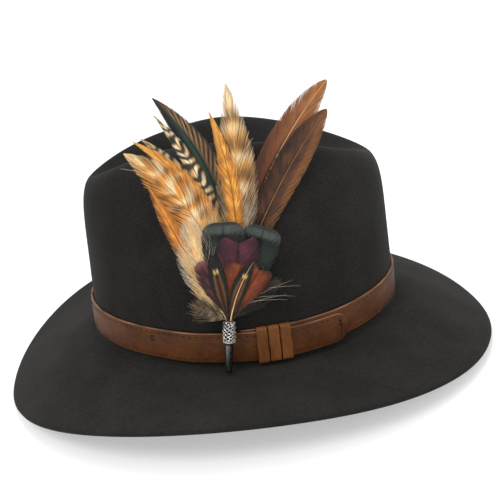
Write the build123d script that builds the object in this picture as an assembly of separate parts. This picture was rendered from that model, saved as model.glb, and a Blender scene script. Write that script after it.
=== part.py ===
"""Blocked felt fedora with a leather strap band and a clip-on feather brooch.

The hat is modelled in its own frame, in millimetres: +X is the wearer's left, +Y the back, +Z up,
and z = 0 is the mean level of the band's lower edge. Every part is then moved by one rest
location, so that the hat stands on the front and back edges of its brim, with its box centred
on X = Y = 0 and its lowest point at Z = 0.
"""
from math import atan2, cos, degrees, exp, pi, radians, sin, sqrt, tanh
import os

from build123d import *

# ---- felt body ------------------------------------------------------------
FELT = 2.3                      # thickness of the felt
CROWN_HALF = (81.6, 103.9)      # half width and half length of the crown at its base
CROWN_POWER = 2.15              # superellipse power of the crown's base
BRIM_HALF = (158.2, 166.5)      # half width and half length of the brim
BRIM_POWER = 2.1
BREAK_DROP = 6.0                # how far the brim starts below the band's lower edge
BREAK_RADIUS = 3.0              # fillet between crown and brim
BAND_SADDLE = 4.0               # front and back of the band line stand this much above its mean
RIDGE_HALF_LENGTH = 92.0        # half length of the ridge round the crown's dent
RIDGE_WIDTH = (43.0, 12.0)      # mean half width of the ridge, and its swell towards the back
RIDGE_TOP = 121.4               # height of the ridge at mid length
DENT_FLOOR = 92.0               # height of the dent's floor
DENT_CENTRE = 0.2               # size of the dent's flat centre, as a share of the ridge
RIDGE_FLARE = (3.2, 0.08)       # how sharply, and how far from mid length, the ridge swells
RIDGE_FALL = (6.0, -22.0, 3.2)  # the ridge's height terms in sin t, its square and its cube
SHOULDER_SQUARENESS = (4.0, 5.0)    # superellipse power at the sides, and what front and back add
SHOULDER_LEAN = 0.3             # how far the wall leans in on its way up
SHOULDER_ROUND = 0.6            # power that rounds the top of the wall
PINCH_DEPTH = 0.15              # front pinches, as a share of the shoulder's overhang
PINCH_ANGLE = 37.0
PINCH_SPREAD = 0.35             # half width of a pinch, in radians round the crown
EDGE_HEIGHT = -16.2             # mean height of the brim's edge
EDGE_WAVES = (2.4, 10.7, -3.2, -0.6)    # its terms in sin t, cos 2t, sin 3t and cos 4t
BRIM_CURVE = 1.25               # power of the brim's fall from crown to edge

# ---- inside of the crown ---------------------------------------------------
SWEATBAND_HEIGHT = 36.0
SWEATBAND_THICKNESS = 1.0
SWEATBAND_GAP = 0.5
SWEATBAND_SLACK = 0.4           # how much further in it hangs than its gap
LINING_THICKNESS = 0.5
LINING_GAP = 0.8
LINING_LEVELS = (38.0, 74.0)    # lower and upper edge of the lining's side wall
LINING_TIP_GAP = 0.4            # between the side wall's upper edge and the oval top
REED_SIZE = 1.2
REED_DROP = 0.3                 # the reed's top below the sweatband's lower edge
SEAM_START, SEAM_END = 90.6, 449.4      # the back seam's gap, as angles round the hat
STITCH_COUNT = 90
STITCH_STEP = 3.9               # degrees from stitch to stitch
STITCH_HEIGHT = 2.5             # above the sweatband's lower edge
STITCH_SIZE = (3.4, 0.5, 0.5)
BOW_HEIGHT = 16.0               # above the break
BOW_KNOT = (3.6, 1.6, 4.0)
BOW_LOOP = (8.0, 1.2, 5.6)
BOW_SPREAD = 0.055              # angle from the knot to the middle of a loop, in radians

# ---- band --------------------------------------------------------------------
BAND_HEIGHT = 18.1
BAND_THICKNESS = 1.5
BAND_GAP = 0.4                  # from felt to strap, away from the keepers
KEEPER_STANDOFF = 1.35          # from felt to strap where the keepers pass behind it
LAYER_GAP = 0.25                # between the strap's two layers
TONGUE_DROP = 2.0               # the outer layer lies this much lower at its free end
TONGUE_ROUND = 8.0              # length of the tongue's rounded end
STRAP_START = -9.0              # angle of the hidden inner end, in degrees
STRAP_END = 388.8               # angle of the tongue's free end
TONGUE_TAPER = 0.44             # how much of its height the strap loses each side at its tip
STANDOFF_ZONE = (24, 45)        # degrees beside the keepers over which the strap comes in
LAP_ZONE = (322, 338)           # degrees over which the strap climbs onto its own start
DROP_ZONE = (335, 372)          # degrees over which the outer layer sinks
TACK_ANGLES = (320.0, 386.0, 150.0)
TACK_HEIGHTS = (11.0, 13.2)     # above the strap's lower edge
TACK_SIZE = (2.4, 0.4, 0.4)
TACK_GAP = 0.25                 # from the strap's face to the middle of a tack
KEEPER_CENTRES = (-3.65, 3.6, 10.85)
KEEPER_WIDTH = 6.9
KEEPER_FRONT = 1.2
KEEPER_BACK = 0.8
KEEPER_CLEARANCE = 0.25         # round the strap's layers, front and back
KEEPER_MARGIN = 0.3             # above and below them
KEEPER_ENDS = 1.0               # leather over the strap's edges

# ---- brooch --------------------------------------------------------------------
BROOCH_PLACE = (86.1, -22.3, 24.5)   # centre of the collar's mouth
BROOCH_TILT = 8.0               # the brooch's axis leans to the back by this, in degrees
BROOCH_LEAN = 8.0               # and towards the crown by this
COLLAR_LENGTH = 13.5
COLLAR_RADII = (3.5, 3.75)      # at its mouth and at its foot
COLLAR_BEADS = 6
BEAD_GROOVE = 0.3               # depth of the grooves between the beads
BORE_RADIUS, BORE_DEPTH = 3.15, 5.0     # for the quills, from the collar's mouth
BINDING_RADIUS, BINDING_TOP = 3.0, 0.2
FERRULE_LENGTH = 19.0
FERRULE_RADII = (2.7, 1.95)
CLIP_WIDTH = 4.4
CLIP_THICKNESS = 0.5
BRIDGE_THICKNESS = 0.8
CLIP_REACH = 15.5
CLIP_BACK = -7.95              # where the clip's tongue lies behind the strap, from the axis
CLIP_TOP = -7.4                 # height of the clip's bridge over the strap's upper edge
FEATHER_THICKNESS = 0.34
LAYER_PITCH = 0.40              # distance between feather layers in the collar's mouth
LAYER_LEANS = (2.0, -9.5)       # lean towards the crown of the innermost and outermost layer
LAYER_COUNT = 16
QUILL_WIDTH = 0.5
QUILL_FOOT = 0.5                # height of the quills' ends above the collar's mouth

RING_POINTS = 40                # spline points round the hat
FULL_TURN = 2 * pi


# ---- outlines and heights ------------------------------------------------------
def oval(t, half, power):
    """A point of a superellipse at the eccentric angle t."""
    angle = atan2(half[1] * sin(t), half[0] * cos(t))
    reach = (abs(cos(angle) / half[0]) ** power + abs(sin(angle) / half[1]) ** power) ** (-1 / power)
    return reach * cos(angle), reach * sin(angle)


def ridge_plan(t):
    """The ridge seen from above: a teardrop, narrow at the front."""
    mean, swell = RIDGE_WIDTH
    half_width = mean + swell * tanh(RIDGE_FLARE[0] * (sin(t) + RIDGE_FLARE[1]))
    return half_width * cos(t), RIDGE_HALF_LENGTH * sin(t)


def ridge_height(t):
    s = sin(t)
    first, second, third = RIDGE_FALL
    return RIDGE_TOP - first * s + second * s * s + third * s ** 3


def band_line(t):
    """Height of the band's lower edge."""
    return -BAND_SADDLE * cos(2 * t)


def break_line(t):
    return band_line(t) - BREAK_DROP


def edge_line(t):
    """Height of the brim's outer edge: low at the front, level at the sides."""
    waves = sin(t), cos(2 * t), sin(3 * t), cos(4 * t)
    return EDGE_HEIGHT + sum(size * wave for size, wave in zip(EDGE_WAVES, waves))


def mix(a, b, share):
    return a + (b - a) * share


# ---- the felt's outer skin, from the dent's centre (u = 0) to the brim's edge (u = 4) ----
def dent_point(t, rise):
    """From the dent's flat centre (rise = 0) up to the ridge (rise = 1)."""
    x, y = ridge_plan(t)
    share = mix(DENT_CENTRE, 1.0, rise)
    z = mix(DENT_FLOOR, ridge_height(t), 0.5 - 0.5 * cos(pi * rise))
    return Vector(x * share, y * share, z)


def shoulder(t, level):
    """How far the wall stands out from the ridge: 1 at the base, 0 at the ridge."""
    squareness = SHOULDER_SQUARENESS[0] + SHOULDER_SQUARENESS[1] * sin(t) ** 2
    rounding = max(0.0, 1 - max(0.0, level) ** squareness) ** SHOULDER_ROUND
    overhang = (1 - SHOULDER_LEAN * level) * rounding
    nearness = min(abs(atan2(sin(t - a), cos(t - a))) for a in pinch_angles())
    pinch = PINCH_DEPTH * exp(-((nearness / PINCH_SPREAD) ** 2)) * sin(pi * level ** 2) ** 2
    return overhang * (1 - pinch)


def pinch_angles():
    return radians(-PINCH_ANGLE), radians(PINCH_ANGLE - 180)


def wall_level(t, level):
    """A point of the crown's wall, level 0 at the brim and 1 at the ridge."""
    base, top = oval(t, CROWN_HALF, CROWN_POWER), ridge_plan(t)
    share = shoulder(t, level)
    return Vector(mix(top[0], base[0], share), mix(top[1], base[1], share),
                  mix(break_line(t) + BREAK_RADIUS, ridge_height(t), level))


def brim_point(t, share):
    """From the foot of the fillet (share = 0) to the outer edge (share = 1)."""
    inner, outer = oval(t, CROWN_HALF, CROWN_POWER), oval(t, BRIM_HALF, BRIM_POWER)
    reach = sqrt(inner[0] ** 2 + inner[1] ** 2)
    start = 1 + BREAK_RADIUS / reach
    x = mix(inner[0] * start, outer[0], share)
    y = mix(inner[1] * start, outer[1], share)
    return Vector(x, y, mix(break_line(t), edge_line(t), share ** BRIM_CURVE))


def fillet_point(t, turn):
    """The quarter arc between wall (turn = 0) and brim (turn = 1)."""
    wall, foot = wall_level(t, 0.0), brim_point(t, 0.0)
    angle = turn * pi / 2
    out = 1 - cos(angle)
    return Vector(mix(wall.X, foot.X, out), mix(wall.Y, foot.Y, out), mix(wall.Z, foot.Z, sin(angle)))


def skin(t, u):
    if u <= 1:
        return dent_point(t, u)
    if u <= 2:
        return wall_level(t, 2 - u)
    if u <= 3:
        return fillet_point(t, u - 2)
    return brim_point(t, u - 3)


def skin_normal(t, u):
    """The unit normal on the felt's outer side."""
    if u == 0:
        return Vector(0, 0, 1)
    step = 1e-3
    along = skin(t, min(u + step, 4.0)) - skin(t, u - step)
    around = skin(t + step, u) - skin(t - step, u)
    return along.cross(around).normalized()


def ring(point_at):
    """A closed smooth wire through a point for each angle round the hat."""
    points = [point_at(FULL_TURN * k / RING_POINTS) for k in range(RING_POINTS)]
    return Wire([Spline(*points, periodic=True)])


SKIN_STATIONS = (0, 0.15, 0.3, 0.45, 0.6, 0.75, 0.88, 1.0,
                 1.03, 1.08, 1.15, 1.25, 1.4, 1.55, 1.7, 1.85, 2.0,
                 2.33, 2.66, 3.0, 3.08, 3.2, 3.35, 3.55, 3.75, 3.9, 4.0)


def felt_body():
    """Crown and brim in one piece: the outer skin, then back along the inner one."""
    outer = [ring(lambda t, u=u: skin(t, u)) for u in SKIN_STATIONS]
    inner = [ring(lambda t, u=u: skin(t, u) - skin_normal(t, u) * FELT)
             for u in reversed(SKIN_STATIONS)]
    return Solid.make_loft(outer + inner, ruled=True)


# ---- strips that follow the crown ------------------------------------------------
def wall_at(t, z):
    """The point of the crown's outer wall at height z."""
    low = break_line(t) + BREAK_RADIUS
    return wall_level(t, (z - low) / (ridge_height(t) - low))


def wall_out(t, z):
    """The wall's outward unit normal at height z."""
    around = wall_at(t + 1e-3, z) - wall_at(t - 1e-3, z)
    up = wall_at(t, z + 1) - wall_at(t, z)
    return around.cross(up).normalized()


def off_wall(t, z, distance):
    """A point at a distance outside (or, if negative, inside) the felt's outer face."""
    return wall_at(t, z) + wall_out(t, z) * distance


def strip(start, end, count, section):
    """A solid lofted through four-cornered sections, from one angle to the other."""
    wires = []
    for k in range(count + 1):
        corners = section(radians(mix(start, end, k / count)))
        wires.append(Wire(Polyline(*corners, close=True).edges()))
    return Solid.make_loft(wires, ruled=True)


def wall_section(t, low, high, inner, thickness):
    """Corners of a strip's flat, upright section between two heights, offset from the wall."""
    foot = wall_at(t, low)
    out = wall_out(t, (low + high) / 2)
    out = Vector(out.X, out.Y, 0).normalized()
    lean = (wall_at(t, high) - foot).dot(out)
    rise = Vector(0, 0, high - low)
    return (foot + out * inner, foot + out * (inner + thickness),
            foot + out * (lean + inner + thickness) + rise, foot + out * (lean + inner) + rise)


def smooth_step(value, low, high):
    share = min(1.0, max(0.0, (value - low) / (high - low)))
    return share * share * (3 - 2 * share)


# ---- inside of the crown -----------------------------------------------------------
def sweatband_depth():
    """From the felt's outer face to the sweatband's inner face."""
    return FELT + SWEATBAND_GAP + SWEATBAND_THICKNESS + SWEATBAND_SLACK


def sweatband():
    def section(t):
        low = break_line(t) + BREAK_RADIUS
        return wall_section(t, low, low + SWEATBAND_HEIGHT, -sweatband_depth(), SWEATBAND_THICKNESS)
    return strip(SEAM_START, SEAM_END, 72, section)


def sweatband_reed():
    """The stiffening cord in the sweatband's lower fold."""
    def section(t):
        top = break_line(t) + BREAK_RADIUS - REED_DROP
        return wall_section(t, top - REED_SIZE, top, -sweatband_depth() - 0.1, REED_SIZE)
    return strip(SEAM_START, SEAM_END, 72, section)


def lining_side():
    inner = -(FELT + LINING_GAP + LINING_THICKNESS)

    def section(t):
        return wall_section(t, LINING_LEVELS[0], LINING_LEVELS[1], inner, LINING_THICKNESS)
    return strip(SEAM_START, SEAM_END, 72, section)


def lining_tip():
    """The oval top of the lining, on the upper edge of its side wall."""
    edge = LINING_LEVELS[1]
    low, high = edge + LINING_TIP_GAP, edge + LINING_TIP_GAP + LINING_THICKNESS

    def outline(t):
        point = off_wall(t, edge, -(FELT + LINING_GAP + LINING_THICKNESS))
        return point.X, point.Y
    rings = [ring(lambda t, z=z: Vector(*outline(t), z)) for z in (low, high)]
    return Solid.make_loft(rings, ruled=True)


def placed_box(centre, along, outward, size):
    """A box of (along, outward, up) size, turned to the given directions."""
    plane = Plane(origin=centre, x_dir=along, z_dir=along.cross(outward) * -1)
    return plane * Box(size[0], size[1], size[2])


def wall_box(t, z, distance, size):
    """A small box lying on the crown's wall, inside or outside."""
    along = (wall_at(t + 1e-3, z) - wall_at(t - 1e-3, z)).normalized()
    return placed_box(off_wall(t, z, distance), along, wall_out(t, z), size)


def sweatband_stitches():
    """One row of stitches along the sweatband's lower edge, on its inner face."""
    depth = -(sweatband_depth() + 0.45)
    angles = [radians(SEAM_START + STITCH_STEP * (k + 1)) for k in range(STITCH_COUNT)]
    return Compound([wall_box(t, break_line(t) + BREAK_RADIUS + STITCH_HEIGHT, depth, STITCH_SIZE)
                     for t in angles])


def sweatband_bow():
    """The small ribbon bow that covers the sweatband's back seam."""
    depth = -(sweatband_depth() + 1.2)
    back = pi / 2
    z = break_line(back) + BOW_HEIGHT
    knot = wall_box(back, z, depth, BOW_KNOT)
    loops = [wall_box(back + side * BOW_SPREAD, z, depth, BOW_LOOP) for side in (-1, 1)]
    return knot + loops[0] + loops[1]


# ---- leather band ---------------------------------------------------------------------
def strap_offset(angle):
    """Distance from felt to the strap's inner face, at an angle along the strap in degrees."""
    beside = min(abs(angle), abs(angle - 360))
    standoff = mix(KEEPER_STANDOFF, BAND_GAP, smooth_step(beside, *STANDOFF_ZONE))
    outer_layer = smooth_step(angle, *LAP_ZONE) * (BAND_THICKNESS + LAYER_GAP)
    return standoff + outer_layer


def strap_drop(angle):
    return TONGUE_DROP * smooth_step(angle, *DROP_ZONE)


def band_strap():
    """One strap: from its hidden inner end right round the crown to the rounded tongue."""
    def section(t):
        angle = degrees(t)
        low = band_line(t) - strap_drop(angle)
        high = low + BAND_HEIGHT
        to_end = max(0.0, (STRAP_END - angle) / 360 * FULL_TURN * CROWN_HALF[1] * 0.9)
        if to_end < TONGUE_ROUND:
            short = 1 - sqrt(1 - (1 - to_end / TONGUE_ROUND) ** 2)
            cut = short * BAND_HEIGHT * TONGUE_TAPER
            low, high = low + cut, high - cut
        return wall_section(t, low, high, strap_offset(angle), BAND_THICKNESS)
    body = strip(STRAP_START, STRAP_END - 6, 100, section)
    tongue = strip(STRAP_END - 6, STRAP_END, 10, section)
    return body + tongue


def keeper(centre_y):
    """A leather loop round both layers of the strap."""
    t = atan2(centre_y / CROWN_HALF[1], sqrt(1 - (centre_y / CROWN_HALF[1]) ** 2))
    low = band_line(t) - TONGUE_DROP - KEEPER_MARGIN
    high = band_line(t) + BAND_HEIGHT + KEEPER_MARGIN
    inner = KEEPER_STANDOFF - KEEPER_CLEARANCE
    outer = KEEPER_STANDOFF + 2 * BAND_THICKNESS + LAYER_GAP + KEEPER_CLEARANCE
    middle = (low + high) / 2
    size_in = (KEEPER_WIDTH + 1, outer - inner, high - low)
    size_out = (KEEPER_WIDTH, outer - inner + KEEPER_FRONT + KEEPER_BACK, high - low + 2 * KEEPER_ENDS)
    hole = wall_box(t, middle, (inner + outer) / 2, size_in)
    block = wall_box(t, middle, (inner + outer + KEEPER_FRONT - KEEPER_BACK) / 2, size_out)
    return block - hole


def band_tacks():
    """The thread tacks that hold the strap to the felt, at the front and at the tongue."""
    solids = []
    for angle in TACK_ANGLES:
        t = radians(angle)
        face = strap_offset(angle) + BAND_THICKNESS + TACK_GAP
        for rise in TACK_HEIGHTS:
            z = band_line(t) - strap_drop(angle) + rise
            solids.append(wall_box(t, z, face, TACK_SIZE))
    return Compound(solids)


# ---- brooch, in its own frame: +Z up its axis, +X away from the crown, +Y to the back ----
def brooch_collar():
    """The wrapped silver collar: a stack of beads with a bore for the quills."""
    mouth, foot = COLLAR_RADII
    pitch = COLLAR_LENGTH / COLLAR_BEADS
    profile = [(0, 0), (mouth, 0)]
    for k in range(COLLAR_BEADS):
        radius = mix(mouth, foot, (k + 1) / COLLAR_BEADS)
        profile.append((radius, -pitch * (k + 0.5)))
        profile.append((radius - BEAD_GROOVE, -pitch * (k + 1)))
    profile.append((0, -COLLAR_LENGTH))
    face = make_face(Plane.XZ * Polyline(*profile, close=True))
    body = revolve(face, Axis.Z)
    bore = Pos(0, 0, -BORE_DEPTH / 2) * Cylinder(BORE_RADIUS, BORE_DEPTH)
    return body - bore


def quill_binding():
    """The thread wrapping that holds the quills in the collar's bore."""
    return Pos(0, 0, BINDING_TOP - BORE_DEPTH / 2) * Cylinder(BINDING_RADIUS, BORE_DEPTH)


def brooch_ferrule():
    """The tapered gunmetal point under the collar."""
    top, tip = FERRULE_RADII
    cone = Pos(0, 0, -COLLAR_LENGTH - FERRULE_LENGTH / 2) * Cone(tip, top, FERRULE_LENGTH)
    low_edge = cone.edges().filter_by(GeomType.CIRCLE).sort_by(Axis.Z)[0]
    return fillet(low_edge, tip * 0.7)


def brooch_clip():
    """The flat spring that goes over the strap's upper edge and down behind it."""
    tongue = Pos(CLIP_BACK, 0, CLIP_TOP - CLIP_REACH / 2) * Box(CLIP_THICKNESS, CLIP_WIDTH, CLIP_REACH)
    reach = -CLIP_BACK - COLLAR_RADII[0] + 0.3
    bridge = (Pos(CLIP_BACK + reach / 2, 0, CLIP_TOP - BRIDGE_THICKNESS / 2)
              * Box(reach + CLIP_THICKNESS, CLIP_WIDTH, BRIDGE_THICKNESS))
    body = tongue + bridge
    room = Pos(0, 0, -COLLAR_LENGTH / 2) * Cylinder(COLLAR_RADII[1] + 0.02, COLLAR_LENGTH + 2)
    return body - room


def shaft(start, end, length, share):
    """A feather's centre line: an arc from one lean angle to another."""
    a, b = radians(start), radians(end)
    turn = (b - a) * share
    if abs(turn) < 1e-6:
        return length * share * sin(a), length * share * cos(a), a
    radius = length / (b - a)
    return radius * (cos(a) - cos(a + turn)), radius * (sin(a + turn) - sin(a)), a + turn


def vane_width(style, share):
    """Half width of a vane along its length, as a share of the largest half width."""
    first, fullness, tip = style
    if share <= first:
        return 0.0
    v = (share - first) / (1 - first)
    return (1 - (1 - v) ** 2.2) ** 0.8 * (1 - v ** fullness) ** tip


# where the vane starts along the shaft, how far it stays full, how blunt its tip is
HACKLE = (0.18, 2.4, 0.9)
QUILL = (0.16, 5.0, 0.75)
LEAF = (0.16, 2.6, 0.8)
PADDLE = (0.22, 5.0, 0.5)
SQUARE = (0.25, 10.0, 0.3)
TUFT = (0.12, 2.2, 0.6)

# name: layer, place across the mouth, start and end lean, length, width, style
FEATHERS = {
    "pheasant_tail_rear": (0, 0.3, 13, 47, 154, 24, QUILL),
    "pheasant_tail_front": (1, 0.6, 21, 44, 137, 23, QUILL),
    "black_green_feather": (2, -0.6, 19, -41, 142, 26, HACKLE),
    "grizzly_hackle_inner": (3, -0.9, 12, -36, 130, 13, HACKLE),
    "grizzly_hackle_outer": (4, -1.2, 13, -48, 123, 15, HACKLE),
    "blonde_hackle_centre": (5, 0.4, 16, -4, 138, 31, HACKLE),
    "orange_hackle_centre": (6, 0.0, 19, -16, 124, 15, HACKLE),
    "orange_hackle_front": (7, -0.6, 15, -55, 126, 14, HACKLE),
    "barred_hackle_tan": (8, -1.0, 5, -52, 120, 34, HACKLE),
    "orange_hackle_low": (9, -1.6, -24, -20, 92, 15, HACKLE),
    "green_feather_rear": (9, 1.6, 27, 24, 59, 26, SQUARE),
    "cream_fluff_front": (10, -1.6, -23, -4, 66, 30, TUFT),
    "green_feather_front": (11, -0.4, 1, 5, 60, 27, SQUARE),
    "base_down_rear": (11, 1.2, 48, 66, 36, 20, TUFT),
    "purple_feather": (12, 1.0, 13, 9, 52, 26, SQUARE),
    "base_down_front": (12, -1.4, -60, -50, 24, 22, TUFT),
    "rust_feather_top": (13, 0.6, 19, 14, 38, 22, SQUARE),
    "maroon_feather_front": (13, -1.2, -14, -22, 41, 14, PADDLE),
    "rust_feather_rear": (14, 1.0, 30, 38, 38, 20, SQUARE),
    "almond_feather_front": (14, -1.0, -8, -6, 43, 13, LEAF),
    "almond_feather_centre": (15, 0.2, 14, 38, 39, 13, LEAF),
}
OUTLINE_POINTS = 14


def feather(layer, across, start, end, length, width, style):
    """A thin closed plate of a feather's outline, in its layer of the fan."""
    left, right = [], []
    for k in range(OUTLINE_POINTS + 1):
        share = k / OUTLINE_POINTS
        y, z, angle = shaft(start - BROOCH_TILT, end - BROOCH_TILT, length, share)
        half = max(QUILL_WIDTH / 2, width / 2 * vane_width(style, share))
        left.append((y - half * cos(angle), z + half * sin(angle)))
        right.append((y + half * cos(angle), z - half * sin(angle)))
    sides = Polyline(*left) + Line(left[-1], right[-1]) + Polyline(*right) + Line(left[0], right[0])
    plate = extrude(Plane.YZ * make_face(sides), FEATHER_THICKNESS)
    lean = mix(LAYER_LEANS[0], LAYER_LEANS[1], layer / (LAYER_COUNT - 1))
    place = Pos((layer - (LAYER_COUNT - 1) / 2) * LAYER_PITCH, across, QUILL_FOOT)
    return place * Rot(Y=-lean) * plate


# ---- assembly ----------------------------------------------------------------------------
def rest_location():
    """Tips the hat onto the front and back edges of its brim and centres its box."""
    front, back = (skin(side * pi / 2, 4.0) for side in (-1, 1))
    tilt = atan2(back.Z - front.Z, back.Y - front.Y)
    tipped = Rot(X=-degrees(tilt))
    rim = [skin(FULL_TURN * k / 360, 4.0) for k in range(360)]
    under = [skin(FULL_TURN * k / 360, 4.0) - skin_normal(FULL_TURN * k / 360, 4.0) * FELT
             for k in range(360)]
    points = [(tipped * Pos(*p)).position for p in rim + under]
    low = min(p.Z for p in points)
    middle = (min(p.Y for p in points) + max(p.Y for p in points)) / 2
    return Pos(0, -middle, -low) * tipped


def brooch_location():
    return Pos(*BROOCH_PLACE) * Rot(X=-BROOCH_TILT) * Rot(Y=-BROOCH_LEAN)


def build_parts():
    hat = {
        "felt_body": felt_body(),
        "sweatband": sweatband(),
        "sweatband_reed": sweatband_reed(),
        "sweatband_stitches": sweatband_stitches(),
        "sweatband_bow": sweatband_bow(),
        "lining_side": lining_side(),
        "lining_tip": lining_tip(),
        "band_strap": band_strap(),
        "band_tacks": band_tacks(),
    }
    for name, centre in zip(("front", "middle", "rear"), KEEPER_CENTRES):
        hat["keeper_" + name] = keeper(centre)
    brooch = {
        "brooch_collar": brooch_collar(),
        "brooch_ferrule": brooch_ferrule(),
        "brooch_clip": brooch_clip(),
        "quill_binding": quill_binding(),
    }
    for name, values in FEATHERS.items():
        brooch[name] = feather(*values)
    rest, on_hat = rest_location(), brooch_location()
    placed = {name: rest * part for name, part in hat.items()}
    placed.update({name: rest * on_hat * part for name, part in brooch.items()})
    return placed


def main():
    os.makedirs("parts", exist_ok=True)
    for name, part in build_parts().items():
        part.label = name
        export_step(part, f"parts/{name}.step")
    axis = (rest_location() * brooch_location() * Pos(0, 0, 1)).position - (
        rest_location() * brooch_location()).position
    print("brooch slides along", [round(v, 4) for v in axis])


main()
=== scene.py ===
"""The looks of a felt fedora with a leather strap band and a feather brooch.

Shapes are worked out in millimetres in the hat's own frame (+X the wearer's left, +Y the back,
z = 0 at the mean level of the band's lower edge), then tipped onto the brim's edges and scaled
to metres in the row frame by to_row().
"""
import math

import bpy
import numpy as np
from mathutils import Matrix, Vector


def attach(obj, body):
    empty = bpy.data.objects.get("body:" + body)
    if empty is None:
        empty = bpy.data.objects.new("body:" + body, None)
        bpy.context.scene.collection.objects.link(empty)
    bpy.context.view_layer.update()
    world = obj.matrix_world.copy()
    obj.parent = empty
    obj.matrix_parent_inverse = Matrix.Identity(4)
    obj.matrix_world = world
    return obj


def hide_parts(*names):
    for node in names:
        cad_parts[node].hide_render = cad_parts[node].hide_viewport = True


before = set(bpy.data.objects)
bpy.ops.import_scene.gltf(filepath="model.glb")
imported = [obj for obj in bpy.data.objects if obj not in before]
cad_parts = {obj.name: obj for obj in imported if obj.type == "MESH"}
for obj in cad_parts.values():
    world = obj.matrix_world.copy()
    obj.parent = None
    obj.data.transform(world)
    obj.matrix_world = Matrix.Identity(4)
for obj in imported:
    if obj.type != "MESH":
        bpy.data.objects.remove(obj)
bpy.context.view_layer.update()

MM = 0.001
TURN = 2 * math.pi

# ---- driving dimensions, millimetres, the same as in the CAD source ----
FELT = 2.3
CROWN_HALF = (81.6, 103.9)
CROWN_POWER = 2.15
BRIM_HALF = (158.2, 166.5)
BRIM_POWER = 2.1
BREAK_DROP = 6.0
BREAK_RADIUS = 3.0
BAND_SADDLE = 4.0
RIDGE_HALF_LENGTH = 92.0
RIDGE_WIDTH = (43.0, 12.0)
RIDGE_TOP = 121.4
RIDGE_FLARE = (3.2, 0.08)          # how sharply, and how far from mid length, the ridge swells
RIDGE_FALL = (6.0, -22.0, 3.2)     # its height terms in sin t, its square and its cube
DENT_FLOOR = 92.0
DENT_CENTRE = 0.2
SHOULDER_SQUARENESS = (4.0, 5.0)   # at the sides, and what front and back add
SHOULDER_LEAN = 0.3
SHOULDER_ROUND = 0.6
PINCH_DEPTH = 0.15
PINCH_ANGLE = math.radians(37.0)
PINCH_SPREAD = 0.35
EDGE_HEIGHT = -16.2
EDGE_WAVES = (2.4, 10.7, -3.2, -0.6)     # terms in sin t, cos 2t, sin 3t and cos 4t
BRIM_CURVE = 1.25
BAND_HEIGHT = 18.1
BAND_THICKNESS = 1.5
BAND_GAP = 0.4
KEEPER_STANDOFF = 1.35
LAYER_GAP = 0.25
TONGUE_DROP = 2.0
TONGUE_ROUND = 8.0
TONGUE_TAPER = 0.44
STRAP_START, STRAP_END = -9.0, 388.8     # degrees round the hat, as all these zones
STANDOFF_ZONE, LAP_ZONE, DROP_ZONE = (24, 45), (322, 338), (335, 372)
TACK_ANGLES = (320.0, 386.0, 150.0)
TACK_SHARES = (0.62, 0.74)
KEEPER_CENTRES = {"front": -3.65, "middle": 3.6, "rear": 10.85}
KEEPER_WIDTH = 6.9
KEEPER_SPARE = 0.3                 # between the loop and the strap's layers
KEEPER_ENDS = 0.35                 # and beyond the strap's edges
STRAP_ROUND = 0.42
SEAM_START, SEAM_END = 90.6, 449.4
SWEATBAND_GAP, SWEATBAND_THICKNESS, SWEATBAND_SLACK = 0.5, 1.0, 0.4
SWEATBAND_INNER = -(FELT + SWEATBAND_GAP + SWEATBAND_THICKNESS + SWEATBAND_SLACK)
SWEATBAND_HEIGHT = 36.0
REED_SIZE, REED_DROP = 1.2, 0.3
LINING_LEVELS = (38.0, 74.0)
LINING_GAP, LINING_THICKNESS = 0.8, 0.5
LINING_INNER = -(FELT + LINING_GAP + LINING_THICKNESS)
BOW_HEIGHT = 16.0
COLLAR_LENGTH = 13.5
FERRULE_LENGTH = 19.0
BROOCH_PLACE = (86.1, -22.3, 24.5)
BROOCH_TILT, BROOCH_LEAN = math.radians(8.0), math.radians(8.0)
LAYER_PITCH = 0.40
LAYER_LEANS = (2.0, -9.5)
LAYER_COUNT = 16
QUILL_FOOT = 0.5                   # height of the quills' ends above the collar's mouth


# ---- the hat's formulas ----
def mix(a, b, share):
    return a + (b - a) * share


def ease(value, low, high):
    """0 below low, rising smoothly to 1 at high."""
    share = np.clip((value - low) / (high - low), 0, 1)
    return share * share * (3 - 2 * share)


def fade(value, low, high):
    """1 below low, falling smoothly to 0 at high."""
    return ease(-value, -high, -low)


def oval(t, half, power):
    angle = np.arctan2(half[1] * np.sin(t), half[0] * np.cos(t))
    across, along = np.abs(np.cos(angle) / half[0]), np.abs(np.sin(angle) / half[1])
    reach = (across ** power + along ** power) ** (-1 / power)
    return reach * np.cos(angle), reach * np.sin(angle)


def ridge_plan(t):
    half_width = RIDGE_WIDTH[0] + RIDGE_WIDTH[1] * np.tanh(RIDGE_FLARE[0] * (np.sin(t) + RIDGE_FLARE[1]))
    return half_width * np.cos(t), RIDGE_HALF_LENGTH * np.sin(t)


def ridge_height(t):
    s = np.sin(t)
    first, second, third = RIDGE_FALL
    return RIDGE_TOP - first * s + second * s * s + third * s ** 3


def band_line(t):
    return -BAND_SADDLE * np.cos(2 * t)


def break_line(t):
    return band_line(t) - BREAK_DROP


def edge_line(t):
    a, b, c, d = EDGE_WAVES
    return EDGE_HEIGHT + a * np.sin(t) + b * np.cos(2 * t) + c * np.sin(3 * t) + d * np.cos(4 * t)


def points(x, y, z):
    return np.stack(np.broadcast_arrays(x, y, z), axis=-1).astype(float)


def dent_point(t, rise):
    x, y = ridge_plan(t)
    share = mix(DENT_CENTRE, 1.0, rise)
    return points(x * share, y * share,
                  mix(DENT_FLOOR, ridge_height(t), 0.5 - 0.5 * np.cos(math.pi * rise)))


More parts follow.
